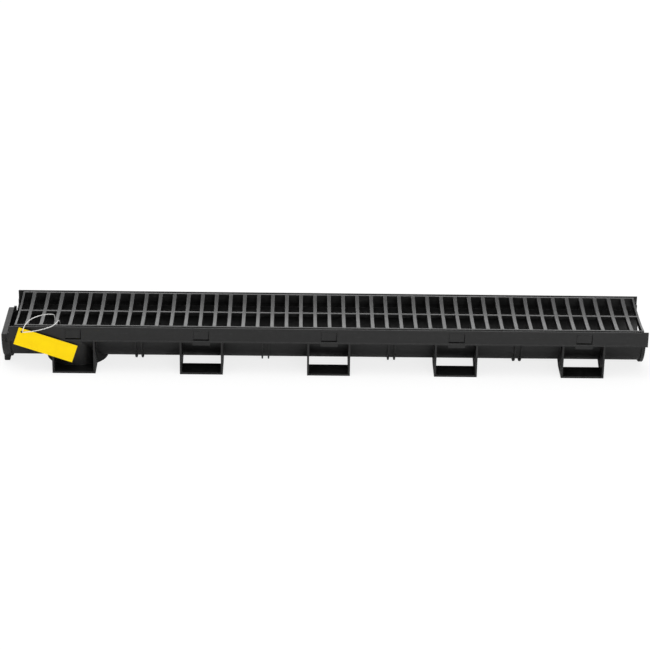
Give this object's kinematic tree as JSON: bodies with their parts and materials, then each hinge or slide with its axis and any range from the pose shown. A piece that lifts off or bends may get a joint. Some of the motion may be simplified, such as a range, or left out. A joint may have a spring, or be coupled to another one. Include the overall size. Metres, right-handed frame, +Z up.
{
  "type": "channel drain",
  "caption": "Moulded plastic surface drain: half-round channel on box feet with a clip-in bar grating, a push-on end cap at one end and a blank hang tag on string.",
  "frame": {"origin": "on the ground under the middle of the channel with its end cap, midway between the side skirts", "axes": "+X along the channel from the capped end to the open end, +Y across it away from the tagged side, +Z up"},
  "size_m": [1.0146, 0.1533, 0.0918],
  "materials": {
    "channel_plastic": "black polyethylene, faintly satin as moulded",
    "grate_plastic": "black polypropylene, satin on the bar tops",
    "tag_card": "smooth yellow card",
    "white_string": "thin white twisted string"
  },
  "bodies": {
    "root": {"channel_body": "channel_plastic", "grate": "grate_plastic", "end_cap": "channel_plastic", "hang_tag": "tag_card", "tag_string": "white_string", "string_knot": "white_string"}
  },
  "joints": []
}
